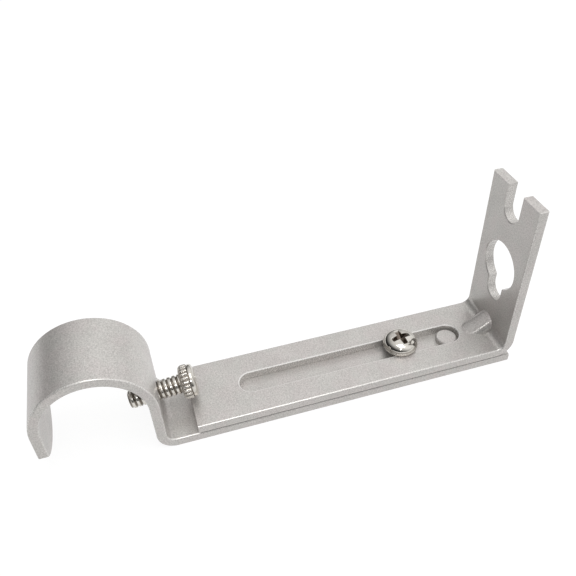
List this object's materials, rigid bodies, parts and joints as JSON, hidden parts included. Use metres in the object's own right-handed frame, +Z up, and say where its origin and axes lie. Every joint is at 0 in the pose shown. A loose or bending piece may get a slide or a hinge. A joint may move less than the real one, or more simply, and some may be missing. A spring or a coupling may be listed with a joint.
{
  "type": "curtain pole bracket",
  "caption": "Adjustable steel curtain pole bracket: slotted wall arm with keyhole and notch, sliding hook arm with a half-round hook, clamp screw and knurled thumb screw.",
  "frame": {"origin": "centre of the keyhole's round part, on the face of the plate that lies on the wall", "axes": "+Y points into the wall, X runs along the pole, and +Z is up as the bracket stands on a table with its hook's mouth down. On a wall it is turned over: -Z is then up."},
  "size_m": [0.0208, 0.1246, 0.0494],
  "materials": {
    "coated_steel": "matt silver with a fine grain",
    "plated_screw": "bright nickel plate"
  },
  "bodies": {
    "wall_arm": {"wall_arm": "coated_steel"},
    "hook_arm": {"hook_arm": "coated_steel"},
    "clamp_screw": {"clamp_screw": "plated_screw"},
    "thumb_screw": {"thumb_screw": "plated_screw"}
  },
  "joints": [
    {"name": "arm_slide", "type": "slide", "parent": "wall_arm", "child": "hook_arm", "axis": [0, -1, 0], "range_m": [0, 0.0429]},
    {"name": "clamp_turn", "type": "hinge", "parent": "hook_arm", "child": "clamp_screw", "pos_m": [0, -0.0287, -0.02155], "axis": [0, 0, 1], "range_deg": [0, 360]},
    {"name": "thumb_travel", "type": "slide", "parent": "hook_arm", "child": "thumb_screw", "axis": [0, -0.9945, -0.1045], "range_m": [-0.0045, 0.0055]}
  ]
}
